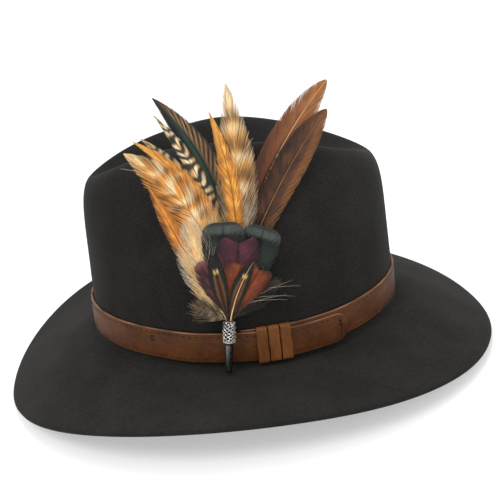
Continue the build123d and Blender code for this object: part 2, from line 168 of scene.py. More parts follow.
def shoulder(t, level):
    squareness = SHOULDER_SQUARENESS[0] + SHOULDER_SQUARENESS[1] * np.sin(t) ** 2
    rise = np.clip(level, 0, 1)
    overhang = (1 - SHOULDER_LEAN * level) * np.maximum(0.0, 1 - rise ** squareness) ** SHOULDER_ROUND
    gaps = [np.abs(np.arctan2(np.sin(t - a), np.cos(t - a)))
            for a in (-PINCH_ANGLE, PINCH_ANGLE - math.pi)]
    nearness = np.minimum(*gaps)
    return overhang * (1 - PINCH_DEPTH * np.exp(-(nearness / PINCH_SPREAD) ** 2)
                       * np.sin(math.pi * level ** 2) ** 2)


def wall_level(t, level):
    base, top = oval(t, CROWN_HALF, CROWN_POWER), ridge_plan(t)
    share = shoulder(t, level)
    return points(mix(top[0], base[0], share), mix(top[1], base[1], share),
                  mix(break_line(t) + BREAK_RADIUS, ridge_height(t), level))


def wall_at(t, z):
    low = break_line(t) + BREAK_RADIUS
    return wall_level(t, (z - low) / (ridge_height(t) - low))


def brim_point(t, share):
    inner, outer = oval(t, CROWN_HALF, CROWN_POWER), oval(t, BRIM_HALF, BRIM_POWER)
    start = 1 + BREAK_RADIUS / np.hypot(*inner)
    return points(mix(inner[0] * start, outer[0], share), mix(inner[1] * start, outer[1], share),
                  mix(break_line(t), edge_line(t), share ** BRIM_CURVE))


def fillet_point(t, turn):
    wall, foot = wall_level(t, 0.0 * turn), brim_point(t, 0.0 * turn)
    out = (1 - np.cos(turn * math.pi / 2))[..., None]
    down = np.sin(turn * math.pi / 2)
    spot = mix(wall, foot, out)
    spot[..., 2] = mix(wall[..., 2], foot[..., 2], down)
    return spot


def skin(t, u):
    """The felt's outer face: u is 0 to 1 up the dent, 2 down the wall, 3 round the break, 4 at the edge."""
    t, u = np.broadcast_arrays(t, u)
    zones = ((u <= 1, lambda: dent_point(t, np.clip(u, 0, 1))),
             (u <= 2, lambda: wall_level(t, np.clip(2 - u, 0, 1))),
             (u <= 3, lambda: fillet_point(t, np.clip(u - 2, 0, 1))),
             (u > 3, lambda: brim_point(t, np.clip(u - 3, 0, 1))))
    out = np.zeros(t.shape + (3,))
    done = np.zeros(t.shape, bool)
    for mask, make in zones:
        mask = mask & ~done
        if mask.any():
            out[mask] = make()[mask]
            done |= mask
    return out


def unit(v):
    return v / np.linalg.norm(v, axis=-1, keepdims=True)


def skin_normal(t, u):
    step = 2e-3
    along = skin(t, np.minimum(u + step, 4.0)) - skin(t, np.maximum(u - step, 0.0))
    around = skin(t + step, u) - skin(t - step, u)
    return unit(np.cross(along, around))


def wall_out(t, z):
    """The wall's outward direction, level, at height z."""
    around = wall_at(t + 1e-3, z) - wall_at(t - 1e-3, z)
    around[..., 2] = 0
    return unit(np.cross(around, [0.0, 0.0, 1.0]))


# ---- frames ----
def turn_x(angle):
    c, s = math.cos(angle), math.sin(angle)
    return np.array([[1, 0, 0], [0, c, -s], [0, s, c]])


def turn_y(angle):
    c, s = math.cos(angle), math.sin(angle)
    return np.array([[c, 0, s], [0, 1, 0], [-s, 0, c]])


def rest_frame():
    """The tilt that stands the hat on the brim's edges, and the shift that fits the CAD box."""
    t = np.linspace(0, TURN, 361)
    front, back = skin(-math.pi / 2, 4.0), skin(math.pi / 2, 4.0)
    tilt = -math.atan2(back[2] - front[2], back[1] - front[1])
    turn = turn_x(tilt)
    rim = np.concatenate([skin(t, 4.0), skin(t, 4.0) - skin_normal(t, 4.0) * FELT]) @ turn.T
    low, high = rim.min(0), rim.max(0)
    return turn, np.array([0, -(low[1] + high[1]) / 2, -low[2]])


REST_TURN, REST_SHIFT = rest_frame()


def to_row(p):
    return (np.asarray(p) @ REST_TURN.T + REST_SHIFT) * MM


BROOCH_TURN = turn_x(-BROOCH_TILT) @ turn_y(-BROOCH_LEAN)


def from_brooch(p):
    """From the brooch's own frame (+Z up its axis, +X away from the crown) to the hat's."""
    return np.asarray(p) @ BROOCH_TURN.T + np.array(BROOCH_PLACE)


# ---- mesh helpers ----
def make_piece(name, node, body, verts, faces, material, tint=None, vane=None):
    """A smooth piece from points in the hat's frame, with a colour and a vector at each point for
    its material. It says which node it replaces, if any, which body it rides."""
    mesh = bpy.data.meshes.new(name)
    mesh.from_pydata(to_row(np.reshape(verts, (-1, 3))).tolist(), [], faces)
    mesh.validate()
    mesh.shade_smooth()
    if tint is not None:
        colour = mesh.color_attributes.new("tint", "FLOAT_COLOR", "POINT")
        full = np.concatenate([tint, np.ones((len(tint), 1))], axis=1).astype(np.float32)
        colour.data.foreach_set("color", full.ravel())
    if vane is not None:
        layer = mesh.attributes.new("vane", "FLOAT_VECTOR", "POINT")
        layer.data.foreach_set("vector", np.asarray(vane, np.float32).ravel())
    mesh.materials.append(material)
    piece = bpy.data.objects.new(name, mesh)
    bpy.context.scene.collection.objects.link(piece)
    if node:
        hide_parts(node)
    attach(piece, body)
    return piece


def grid_faces(rows, cols, wrap_rows=False, wrap_cols=False):
    """Quads of a grid of points, row by row, optionally closed either way."""
    r = np.arange(rows if wrap_rows else rows - 1)[:, None]
    c = np.arange(cols if wrap_cols else cols - 1)[None, :]
    r2, c2 = (r + 1) % rows, (c + 1) % cols
    quads = (r * cols + c, r * cols + c2, r2 * cols + c2, r2 * cols + c)
    return np.stack(np.broadcast_arrays(*quads), -1).reshape(-1, 4)


def sweep(rings, count, inward=False):
    """Faces for rings of count points each, with end caps."""
    faces = grid_faces(rings, count, wrap_cols=True).tolist()
    faces.append(list(range(count))[::-1])
    faces.append(list(range((rings - 1) * count, rings * count)))
    return [face[::-1] for face in faces] if inward else faces


def tube_rings(path, side, over, radius, sides, flat=1.0):
    """Rings round a path, spanned by two directions at each of its points."""
    a = TURN * np.arange(sides) / sides
    return path[:, None] + radius[:, None, None] * (side[:, None] * np.cos(a)[None, :, None]
                                                    + over * flat * np.sin(a)[None, :, None])


class Build:
    """Collects shapes into the points and faces of one mesh."""

    def __init__(self):
        self.verts, self.faces, self.count = [], [], 0

    def add(self, verts, faces):
        verts = np.asarray(verts, float).reshape(-1, 3)
        self.verts.append(verts)
        self.faces += [[int(i) + self.count for i in face] for face in faces]
        self.count += len(verts)

    def lathe(self, profile, sides=40):
        a = TURN * np.arange(sides) / sides
        rings = [points(r * np.cos(a), r * np.sin(a), z) for r, z in profile]
        self.add(np.concatenate(rings), sweep(len(profile), sides, inward=True))

    def tube(self, path, radius, sides=6, closed=False):
        path = np.asarray(path, float)
        ahead = np.roll(path, -1, 0) - np.roll(path, 1, 0) if closed else np.gradient(path, axis=0)
        way = unit(ahead)
        side = unit(np.cross(way, path * [1, 1, 0] + [1e-6, 0, 0]))
        over = np.cross(side, way)[:, None]
        ring = tube_rings(path, side, over, np.broadcast_to(radius, len(path)), sides)
        if closed:
            self.add(ring, grid_faces(len(path), sides, wrap_rows=True, wrap_cols=True))
        else:
            self.add(ring, sweep(len(path), sides))


def rounded_profile(thickness, height, radius):
    """A rounded rectangle's outline, (0, 0) at its inner lower corner, as (out, up) pairs."""
    out, steps = [], 3
    corners = ((thickness - radius, radius, -90), (thickness - radius, height - radius, 0),
               (radius, height - radius, 90), (radius, radius, 180))
    for cx, cy, first in corners:
        for k in range(steps + 1):
            a = math.radians(first + 90 * k / steps)
            out.append((cx + radius * math.cos(a), cy + radius * math.sin(a)))
    return np.array(out)


def wall_frame(t, low, high):
    """The wall between two heights: its way out, its foot, and how far its head leans out."""
    out, foot = wall_out(t, (low + high) / 2), wall_at(t, low)
    return out, foot, ((wall_at(t, high) - foot) * out).sum(-1)


def wall_strip(angles, low, high, inner, thickness, radius, wobble=None):
    """Points of a strip on the crown: a rounded section at each angle, in the hat's frame."""
    t = np.radians(angles)
    low, high, inner = (np.broadcast_to(v, t.shape) for v in (low, high, inner))
    out, foot, lean = wall_frame(t, low, high)
    height = float((high - low).max())
    profile = rounded_profile(thickness, height, radius)
    share = profile[:, 1] / height
    ring = foot[:, None, :] + out[:, None, :] * (inner[:, None, None] + profile[None, :, :1]
                                                 + (lean[:, None] * share)[..., None])
    ring[..., 2] = low[:, None] + (high - low)[:, None] * share
    if wobble is not None:
        ring += out[:, None, :] * wobble(t[:, None], share[None, :])[..., None]
    return ring


# ---- materials ----
def new_material(name, base, roughness, metallic=0.0, sheen=0.0, sheen_tint=(1, 1, 1),
                 sheen_rough=0.5, coat=0.0, specular=0.5):
    material = bpy.data.materials.new(name)
    material.use_nodes = True
    shader = material.node_tree.nodes["Principled BSDF"]
    values = {"Base Color": (*base, 1), "Roughness": roughness, "Metallic": metallic,
              "Sheen Weight": sheen, "Sheen Tint": (*sheen_tint, 1), "Sheen Roughness": sheen_rough,
              "Coat Weight": coat, "Specular IOR Level": specular}
    for socket, value in values.items():
        shader.inputs[socket].default_value = value
    return material, material.node_tree, shader


def add(tree, kind, **values):
    node = tree.nodes.new(kind)
    for key, value in values.items():
        if key in node.inputs:
            node.inputs[key].default_value = value
        else:
            setattr(node, key, value)
    return node


def texture(tree, kind, stretch=None, **values):
    """A texture in object space (metres), optionally stretched."""
    place = add(tree, "ShaderNodeTexCoord").outputs["Object"]
    node = add(tree, "ShaderNodeTex" + kind, **values)
    if stretch:
        mapping = add(tree, "ShaderNodeMapping", Scale=stretch)
        tree.links.new(place, mapping.inputs["Vector"])
        place = mapping.outputs["Vector"]
    tree.links.new(place, node.inputs["Vector"])
    return node


def noise(tree, scale, detail, roughness=0.6, stretch=None):
    return texture(tree, "Noise", stretch, Scale=scale, Detail=detail, Roughness=roughness).outputs["Fac"]


def ramp(tree, source, *stops):
    """A socket's value turned into a colour, by two stops of (place, colour)."""
    node = add(tree, "ShaderNodeValToRGB")
    for element, (place, colour) in zip(node.color_ramp.elements, stops):
        element.position, element.color = place, (*colour, 1)
    tree.links.new(source, node.inputs["Fac"])
    return node.outputs["Color"]


def shades(base, *gains):
    return [tuple(gain * c for c in base) for gain in gains]


def colour_by(tree, shader, tone, fine):
    """The base colour: a tone times a finer pattern."""
    tree.links.new(blend(tree, tone, fine, 1.0, "MULTIPLY"), shader.inputs["Base Color"])


def blend(tree, a, b, share, kind="MIX"):
    """Two colours mixed; each argument is a socket or a constant."""
    node = add(tree, "ShaderNodeMix", data_type="RGBA", blend_type=kind)
    for value, name in ((share, "Factor"), (a, "A"), (b, "B")):
        socket = node.inputs[name]
        if hasattr(value, "is_output"):
            tree.links.new(value, socket)
        else:
            socket.default_value = value if isinstance(value, float) else (*value, 1)
    return next(s for s in node.outputs if s.identifier == "Result_Color")


def bump(tree, shader, height, strength, distance):
    node = add(tree, "ShaderNodeBump", Strength=strength, Distance=distance)
    tree.links.new(height, node.inputs["Height"])
    tree.links.new(node.outputs["Normal"], shader.inputs["Normal"])


def to_range(tree, source, low, high, target):
    """Feeds a target socket from a source that is mapped to low..high."""
    node = add(tree, "ShaderNodeMapRange", **{"To Min": low, "To Max": high})
    tree.links.new(source, node.inputs["Value"])
    tree.links.new(node.outputs["Result"], target)


def felt_material():
    """Brushed wool felt: fine nap, faint mottling, a soft brown-grey sheen."""
    material, tree, shader = new_material("felt", (0.016, 0.014, 0.013), 0.95, sheen=0.08,
                                          sheen_tint=(0.48, 0.46, 0.42), sheen_rough=0.4, specular=0.12)
    fibre = noise(tree, 900, 6, 0.7, (1.0, 0.45, 1.6))
    tone = ramp(tree, noise(tree, 35, 3), (0.3, (0.0098, 0.0096, 0.0089)), (0.7, (0.0158, 0.0152, 0.0137)))
    fine = ramp(tree, fibre, (0.35, (0.62, 0.62, 0.62)), (0.68, (1.5, 1.47, 1.42)))
    colour_by(tree, shader, tone, fine)
    bump(tree, shader, fibre, 0.55, 0.0004)
    return material


def leather_material(name, dark, light, grain, roughness, stretch=(1.0, 1.0, 0.35)):
    """Oiled leather with pebbled grain, darker hollows, worn lighter patches."""
    material, tree, shader = new_material(name, light, roughness, coat=0.02, specular=0.18)
    pores = texture(tree, "Voronoi", Scale=1500.0)
    streak = noise(tree, 420, 5, 0.7, stretch)
    tone = ramp(tree, noise(tree, 60, 5, 0.65), (0.32, dark), (0.70, light))
    lines = ramp(tree, streak, (0.3, (0.72, 0.70, 0.68)), (0.7, (1.22, 1.20, 1.16)))
    colour_by(tree, shader, tone, lines)
    to_range(tree, streak, roughness - 0.10, roughness + 0.16, shader.inputs["Roughness"])
    height = add(tree, "ShaderNodeMath", operation="MULTIPLY_ADD")
    tree.links.new(pores.outputs["Distance"], height.inputs[0])
    height.inputs[1].default_value = 0.6 * grain
    tree.links.new(streak, height.inputs[2])
    bump(tree, shader, height.outputs["Value"], 0.35, 0.0003)
    return material


def over_colour(material, build):
    """Sends a material's base colour through build(tree, its socket, the tint attribute)."""
    tree = material.node_tree
    base = tree.nodes["Principled BSDF"].inputs["Base Color"]
    tint = add(tree, "ShaderNodeAttribute", attribute_name="tint").outputs["Fac"]
    tree.links.new(build(tree, base.links[0].from_socket, tint), base)
    return material


def strap_material():
    """The strap's leather: a lighter tan along the edges that the tint attribute marks, partly the worn cut
    edge and partly a painted highlight.
    """
    material = leather_material("strap_leather", (0.046, 0.0135, 0.0034), (0.100, 0.034, 0.0080),
                                1.0, 0.5, (0.25, 0.25, 1.3))
    return over_colour(material, lambda tree, base, tint: blend(tree, base, (0.27, 0.135, 0.070), tint))


def thread_material(name, base):
    material, tree, shader = new_material(name, base, 0.75, specular=0.2)
    ply = texture(tree, "Wave", Scale=900.0, Distortion=1.5).outputs["Fac"]
    dark, light = shades(base, 0.55, 1.25)
    tree.links.new(ramp(tree, ply, (0.0, dark), (1.0, light)), shader.inputs["Base Color"])
    bump(tree, shader, ply, 0.4, 0.0002)
    return material


def cloth_material(name, base, scale, roughness):
    """Woven lining or ribbon: fine crossing threads over a soft mottling."""
    material, tree, shader = new_material(name, base, roughness, sheen=0.3)
    weave = texture(tree, "Wave", Scale=scale, Distortion=0.6, Detail=2.0).outputs["Fac"]
    dark, light = shades(base, 0.75, 1.2)
    tone = ramp(tree, noise(tree, 50, 3), (0.3, dark), (0.7, light))
    lines = ramp(tree, weave, (0.0, (0.8, 0.8, 0.8)), (1.0, (1.15, 1.15, 1.15)))
    colour_by(tree, shader, tone, lines)
    bump(tree, shader, weave, 0.25, 0.0001)
    return material


def metal_material(name, base, dark, roughness, scale=700):
    """Metal with patchy tarnish, darker and rougher, and fine brushing."""
    material, tree, shader = new_material(name, base, roughness, metallic=1.0)
    tarnish = noise(tree, scale, 5, 0.65)
    tree.links.new(ramp(tree, tarnish, (0.38, dark), (0.62, base)), shader.inputs["Base Color"])
    to_range(tree, tarnish, roughness + 0.15, roughness - 0.08, shader.inputs["Roughness"])
    bump(tree, shader, noise(tree, 1600, 3, 0.6, (1.0, 1.0, 0.05)), 0.12, 0.0001)
    return material


def vane_material(name):
    """A feather's vane: its tint attribute, broken up by fine barb-wise noise."""
    roughness, mottle = 0.55, 0.28
    material, tree, shader = new_material(name, (0.5, 0.4, 0.3), roughness, sheen=0.06, specular=0.3)
    tint = add(tree, "ShaderNodeAttribute", attribute_name="tint").outputs["Color"]
    place = add(tree, "ShaderNodeAttribute", attribute_name="vane").outputs["Vector"]
    speck = add(tree, "ShaderNodeTexNoise", Scale=1.0, Detail=3.0, Roughness=0.6)
    tree.links.new(place, speck.inputs["Vector"])
    grain = speck.outputs["Fac"]
    shade = ramp(tree, grain, (0.3, (1 - mottle,) * 3), (0.7, (1 + mottle,) * 3))
    colour_by(tree, shader, tint, shade)
    to_range(tree, grain, roughness - 0.12, roughness + 0.15, shader.inputs["Roughness"])
    return material


# ---- the felt ----
def ripple(p):
    """Slow unevenness of hand-blocked felt, under a millimetre."""
    x, y, z = p[..., 0] / 40, p[..., 1] / 40, p[..., 2] / 40
    return (0.28 * np.sin(1.7 * x + 0.6 * y + 1.1) * np.cos(1.3 * y - z)
            + 0.20 * np.sin(2.9 * z + 1.3 * x) * np.cos(2.3 * y + 0.7)
            + 0.14 * np.sin(4.1 * x - 3.3 * y + 2.0 * z))


def felt_body():
    """The felt's outer skin, rippled, and its inner one, joined round the brim's softened edge."""
    around, edge_round, calm_zone = 288, 0.35, (1.8, 3.1)
    dent = np.linspace(0, 0.97, 22)
    wall = 1 + np.linspace(0, 1, 40) ** 1.6
    roll = np.linspace(2.15, 3.0, 7)
    brim = 3 + np.linspace(0.03, 1, 42)
    t, u = np.meshgrid(TURN * np.arange(around) / around, np.concatenate([dent, wall, roll, brim]))
    outer, normal = skin(t, u), skin_normal(t, u)
    normal[0] = (0, 0, 1)
    lift = ripple(outer) * np.clip(np.abs(u - 4.0) * 3, 0, 1)
    lift *= 1 - 0.8 * ((u > calm_zone[0]) & (u < calm_zone[1]))
    outer = outer + normal * lift[..., None]
    inner = outer - normal * FELT
    outer[-1] -= normal[-1] * edge_round
    inner[-1] += normal[-1] * edge_round
    rows = np.concatenate([outer, inner[::-1]])
    make_piece("felt_hat", "felt_body", "hat", rows, sweep(len(rows), around, inward=True),
               felt_material())


# ---- the leather band ----
def strap_offset(angle):
    """From the felt to the strap: more beside the keepers, and over the strap's own start."""
    beside = np.minimum(np.abs(angle), np.abs(angle - 360))
    standoff = mix(KEEPER_STANDOFF, BAND_GAP, ease(beside, *STANDOFF_ZONE))
    return standoff + ease(angle, *LAP_ZONE) * (BAND_THICKNESS + LAYER_GAP)


def strap_levels(angle):
    """Lower and upper edge of the strap, drawn in round the tongue's end."""
    low = band_line(np.radians(angle)) - TONGUE_DROP * ease(angle, *DROP_ZONE)
    to_end = np.maximum(0.0, (STRAP_END - angle) / 360 * TURN * CROWN_HALF[1] * 0.9)
    short = 1 - np.sqrt(np.clip(1 - (1 - np.minimum(to_end / TONGUE_ROUND, 1)) ** 2, 0, 1))
    return low + short * BAND_HEIGHT * TONGUE_TAPER, low + BAND_HEIGHT * (1 - short * TONGUE_TAPER)


def creases(t, share):
    slow = 0.10 * np.sin(5 * t + 4 * share) * np.sin(11 * t - 2 * share)
    fine = 0.05 * np.sin(63 * t + 9 * share) * np.sin(17 * t + 5 * share)
    return slow + fine


def band_strap(material):
    """The strap, with its sections closer together round the tongue's end."""
    tip = 6
    closing = np.sin(np.linspace(0.02, 1, 24) * math.pi / 2)
    angles = np.concatenate([np.linspace(STRAP_START, STRAP_END - tip, 420),
                             STRAP_END - tip * (1 - closing)])
    ring = wall_strip(angles, *strap_levels(angles), strap_offset(angles), BAND_THICKNESS, STRAP_ROUND,
                      creases)
    height = rounded_profile(BAND_THICKNESS, BAND_HEIGHT, STRAP_ROUND)[:, 1] / BAND_HEIGHT
    # Lighter edges of the strap: partly the worn cut edge, partly a painted highlight, so the upper edge
    # gets the full tan and the lower edge only 0.35 of it.
    worn_and_lit = (0.979, 0.997)
    edge = np.maximum(ease(height, *worn_and_lit), 0.35 * ease(1 - height, *worn_and_lit))
    turn = np.radians(angles)
    wear = 0.62 + 0.38 * np.sin(9 * turn) * np.sin(23 * turn)
    tint = np.repeat((edge[None, :] * wear[:, None]).reshape(-1, 1), 3, axis=1)
    make_piece("leather_strap", "band_strap", "hat", ring, sweep(*ring.shape[:2]),
               material, tint)


def capsule(centre, along, out, length, radius):
    """A short stitch: a bent, round-ended thread lying on a surface."""
    up = np.cross(out, along)
    verts, rings, sides = [], 5, 6
    for k in range(rings):
        s = k / (rings - 1)
        size = radius * (0.55 if k in (0, rings - 1) else 1.0)
        dip = radius * (0.35 - 1.5 * (2 * s - 1) ** 4)
        spot = centre + along * (s - 0.5) * length + out * dip
        for j in range(sides):
            a = TURN * j / sides
            verts.append(spot + (out * math.cos(a) + up * math.sin(a)) * size)
    return verts, sweep(rings, sides)


def stitch_row(name, node, spots, length, radius, material):
    """One object of many stitches, each given as (centre, along, out)."""
    build = Build()
    for spot in spots:
        build.add(*capsule(*spot, length, radius))
    make_piece(name, node, "hat", np.concatenate(build.verts), build.faces, material)


def strap_spot(angle, share, proud):
    """A point on the strap's outer face, the way along it, and the way out of it."""
    a = np.array([angle - 0.05, angle, angle + 0.05])
    low, high = strap_levels(a)
    out, foot, lean = wall_frame(np.radians(a), low, high)
    spot = foot + out * (strap_offset(a) + BAND_THICKNESS + proud + lean * share)[:, None]
    spot[:, 2] = low + (high - low) * share
    return spot[1], unit(spot[2] - spot[0]), out[1]


def band_stitching():
    """Tone-on-tone stitching along both edges and round the tongue's end."""
    proud, pitch, hidden = 0.02, 2.35, 32
    spots = [strap_spot(angle, share, proud) for share in (0.115, 0.885)
             for angle in np.arange(STRAP_START + 12, STRAP_END - 4.2, pitch) if angle >= hidden]
    for share in np.linspace(0.2, 0.8, 6):
        bulge = 2.6 * (1 - (2 * share - 1) ** 2)
        centre, along, out = strap_spot(STRAP_END - 4.0 + bulge * 0.55, share, proud)
        spots.append((centre, unit(np.array([0, 0, 1.0]) + along * (0.5 - share) * 2.2), out))
    thread = thread_material("strap_thread", (0.030, 0.0100, 0.0032))
    stitch_row("strap_stitching", None, spots, 2.7, 0.24, thread)


def tacks():
    spots = [strap_spot(angle, share, 0.12) for angle in TACK_ANGLES for share in TACK_SHARES]
    thread = thread_material("tack_thread", (0.012, 0.005, 0.003))
    stitch_row("strap_tacks", "band_tacks", spots, 3.0, 0.42, thread)


def keeper_path(low, high, inner, outer):
    """Round the strap in an upright section: (out, up, and the normal's two parts) at each step."""
    front, back, steps, flat_steps = 0.9, 0.54, 6, 8
    path = []
    for cx, cz, size, first in ((outer - front, low + front, front, -90),
                                (outer - front, high - front, front, 0),
                                (inner + back, high - front, back, 90),
                                (inner + back, low + front, back, 180)):
        for k in range(steps + 1):
            a = math.radians(first + 90 * k / steps)
            path.append((cx + size * math.cos(a), cz + size * math.sin(a), math.cos(a), math.sin(a)))
    dense = []
    for here, after in zip(path, path[1:] + path[:1]):
        flat = math.hypot(after[0] - here[0], after[1] - here[1]) > 2.5
        count = flat_steps if flat else 1
        dense += [[mix(a, b, j / count) for a, b in zip(here, after)] for j in range(count)]
    return dense


def keeper(name, centre_y, material):
    """A leather loop: a rounded section swept round both layers of the strap."""
    t = np.array(math.asin(centre_y / CROWN_HALF[1]))
    low = float(band_line(t)) - TONGUE_DROP - KEEPER_ENDS
    high = float(band_line(t)) + BAND_HEIGHT + KEEPER_ENDS
    out, foot, lean = wall_frame(t, low, high)
    along = unit(np.cross([0, 0, 1.0], out))
    inner = KEEPER_STANDOFF - KEEPER_SPARE
    outer = KEEPER_STANDOFF + 2 * BAND_THICKNESS + LAYER_GAP + KEEPER_SPARE
    half = KEEPER_WIDTH / 2 - 0.12
    section = rounded_profile(1.15, 2 * half, 0.45)
    rings = []
    for px, pz, nx, nz in keeper_path(low, high, inner, outer):
        thick = 1.0 if px > (inner + outer) / 2 else 0.62
        share = (pz - low) / (high - low)
        bulge = 0.18 * math.sin(math.pi * min(1, max(0, share))) if px > outer - 0.5 else 0.0
        for depth, width in section:
            x = px + nx * depth * thick + bulge + lean * share
            shift = (width - half) + 0.12 * math.sin(2.1 * pz + centre_y)
            spot = np.array([foot[0], foot[1], 0]) + out * x + along * shift
            rings.append(spot + np.array([0, 0, pz + nz * depth * thick]))
    faces = grid_faces(len(rings) // len(section), len(section), wrap_rows=True, wrap_cols=True)
    make_piece("keeper_loop_" + name, "keeper_" + name, "hat", rings,
               faces.tolist(), material)


# ---- inside of the crown ----
def inside_strip(name, node, levels, inner, thickness, radius, material, wobble=None):
    """A strip inside the crown, open at the back seam, between the two levels at each angle."""
    angles = np.linspace(SEAM_START, SEAM_END, 240)
    ring = wall_strip(angles, *levels(np.radians(angles)), inner, thickness, radius, wobble)
    return make_piece(name, node, "hat", ring, sweep(*ring.shape[:2]), material)


def sweatband_foot(t):
    return break_line(t) + BREAK_RADIUS


def sweatband():
    """The leather band and the stiffening reed that hangs at its foot."""
    leather = leather_material("sweatband_leather", (0.060, 0.034, 0.020), (0.130, 0.075, 0.045), 0.6, 0.5)
    inside_strip("leather_sweatband", "sweatband",
                 lambda t: (sweatband_foot(t), sweatband_foot(t) + SWEATBAND_HEIGHT),
                 SWEATBAND_INNER, SWEATBAND_THICKNESS, 0.35, leather,
                 lambda t, share: -0.08 * (1 - np.cos(9 * t + 5 * share)) * np.sin(math.pi * share))
    reed = leather_material("reed", (0.30, 0.22, 0.14), (0.42, 0.32, 0.22), 0.4, 0.45)
    inside_strip("sweatband_reed_cord", "sweatband_reed",
                 lambda t: (sweatband_foot(t) - REED_DROP - REED_SIZE, sweatband_foot(t) - REED_DROP),
                 SWEATBAND_INNER - 0.1, REED_SIZE, 0.59, reed)


def sweatband_stitches():
    """A row of stitches round the sweatband's foot."""
    count, first, step, height, proud = 90, SEAM_START + 4, 3.9, 2.5, 0.05
    spots = []
    for k in range(count):
        t = np.radians(first + step * k + np.array([-0.05, 0, 0.05]))
        z = sweatband_foot(t) + height
        out = wall_out(t, z)
        spot = wall_at(t, z) + out * (SWEATBAND_INNER + proud)
        spots.append((spot[1], unit(spot[2] - spot[0]), -out[1]))
    thread = thread_material("thread", (0.22, 0.13, 0.075))
    stitch_row("sweatband_stitching", "sweatband_stitches", spots, 3.4, 0.26, thread)


def lining_side(material):
    """The lining's side wall, softly gathered."""
    def gathers(t, share):
        return -0.16 * (1 + np.sin(44 * t + 3 * share)) * np.sin(math.pi * share)

    piece = inside_strip("lining_wall", "lining_side", lambda t: LINING_LEVELS, LINING_INNER,
                         LINING_THICKNESS, 0.2, material, gathers)


def lining_top(material):
    """The lining's oval top: a slightly domed cloth disc with soft puckers at its edge."""
    around, rings, gap, dome = 160, 14, 0.9, 1.2
    t = TURN * np.arange(around) / around
    z = np.full_like(t, LINING_LEVELS[1])
    edge = wall_at(t, z) + wall_out(t, z) * LINING_INNER
    middle = edge.mean(0)
    share = np.linspace(0.02, 1, rings)[:, None, None]
    top = middle + (edge[None] - middle) * share
    pucker = 0.25 * np.sin(36 * t)[None, :] * share[..., 0] ** 5
    top[..., 2] = LINING_LEVELS[1] + gap + dome * (1 - share[..., 0] ** 2) + pucker
    under = top - np.array([0, 0, LINING_THICKNESS])
    verts = np.concatenate([top, under[::-1]])
    piece = make_piece("lining_crown", "lining_tip", "hat", verts, sweep(2 * rings, around),
                       material)


def ribbon(build, path, half, across):
    """A flat ribbon along a path, its half width given at each point."""
    thickness = 0.3
    path = np.array(path)
    side = np.broadcast_to(across, path.shape)
    face = unit(np.cross(unit(np.gradient(path, axis=0)), side))
    section = np.array([(-1, -1), (1, -1), (1, 1), (-1, 1)], float)
    width = half[:, None, None] * section[None, :, :1]
    ring = path[:, None] + side[:, None] * width + face[:, None] * (thickness / 2) * section[None, :, 1:]
    build.add(ring, sweep(len(path), 4))


def bow():
    """A small flat ribbon bow: two loops and a wrapped knot."""
    t = np.array(math.pi / 2)
    z = break_line(t) + BOW_HEIGHT
    out = -wall_out(t, z)
    along = np.array([-1.0, 0, 0])
    up = np.cross(out, along)
    centre = wall_at(t, z) - out * (SWEATBAND_INNER - 0.35)
    build = Build()
    turn = np.linspace(0, TURN, 17)
    for way in (-1, 1):
        loop = [centre + along * way * (4.6 - 4.4 * math.cos(a)) + out * (0.75 + 0.62 * math.sin(a))
                for a in turn]
        ribbon(build, loop, 1.6 + 1.1 * np.sin(turn / 2) ** 2, up)
    knot = [centre + along * 1.5 * math.cos(a) + out * (0.8 + 0.85 * math.sin(a))
            for a in np.linspace(0, TURN, 13)]
    ribbon(build, knot, np.full(13, 1.9), up)
    material = cloth_material("ribbon", (0.020, 0.014, 0.012), 2600.0, 0.38)
    make_piece("ribbon_bow", "sweatband_bow", "hat", np.concatenate(build.verts),
               build.faces, material)


# ---- brooch metal ----
def brooch_piece(build, name, node, material):
    """A piece in the brooch's frame; its tint marks how far each point stands proud of the axis."""
    verts = np.concatenate(build.verts)
    proud = ease(np.hypot(verts[:, 0], verts[:, 1]), 3.35, 3.85)
    tint = np.repeat(proud[:, None], 3, 1)
    make_piece(name, node, "brooch", from_brooch(verts), build.faces, material, tint)


def helix(turns, radius, z, phase, count):
    s = np.linspace(0, 1, count)
    a = phase + TURN * turns * s
    r = mix(radius[0], radius[1], s)
    return np.stack([r * np.cos(a), r * np.sin(a), mix(z[0], z[1], s)], -1)


def collar_bead(rng, foot):
    """A small bead of filigree at a random place: its path and radii."""
    a, z = TURN * rng.random(), mix(-1.2, foot + 1.2, rng.random())
    r = 3.5 + 0.02 * abs(z)
    size = 0.36 + 0.26 * rng.random()
    spot = np.array([r * math.cos(a), r * math.sin(a), z])
    steps, radii = np.array([-1, -0.5, 0, 0.5, 1]), np.array([0.35, 0.85, 1.0, 0.85, 0.35])
    return [spot + [0, 0, step * size] for step in steps], radii * size


def collar():
    """The filigree collar: a thin sleeve, crossing wires, rings and scattered beads."""
    build = Build()
    foot, wires = -COLLAR_LENGTH, 7
    build.lathe([(2.6, -5.0), (2.62, -0.5), (2.75, -0.2), (3.05, -0.2), (3.15, -0.6), (3.2, foot + 0.4),
                 (2.2, foot + 0.4), (2.1, foot + 0.6)])
    for k in range(wires):
        phase = TURN * k / wires
        build.tube(helix(0.7, (3.34, 3.60), (-0.7, foot + 0.8), phase, 30), 0.40)
        build.tube(helix(-0.9, (3.38, 3.64), (-0.7, foot + 0.8), phase + 0.3, 30), 0.32)
    a = TURN * np.arange(48) / 48
    for radius, z, size in ((3.3, -0.45, 0.34), (3.42, -4.6, 0.22), (3.5, -8.9, 0.22),
                            (3.68, foot + 0.45, 0.42)):
        twist = radius + 0.07 * np.sin(16 * a)
        build.tube(points(twist * np.cos(a), twist * np.sin(a), z), size, closed=True)
    rng = np.random.default_rng(11)
    for _ in range(42):
        build.tube(*collar_bead(rng, foot), 7)
    silver = metal_material("silver", (0.86, 0.84, 0.80), (0.25, 0.24, 0.22), 0.24, 900)
    over_colour(silver, lambda tree, base, tint: blend(tree, (0.012, 0.012, 0.012), base, tint))
    brooch_piece(build, "silver_collar", "brooch_collar", silver)


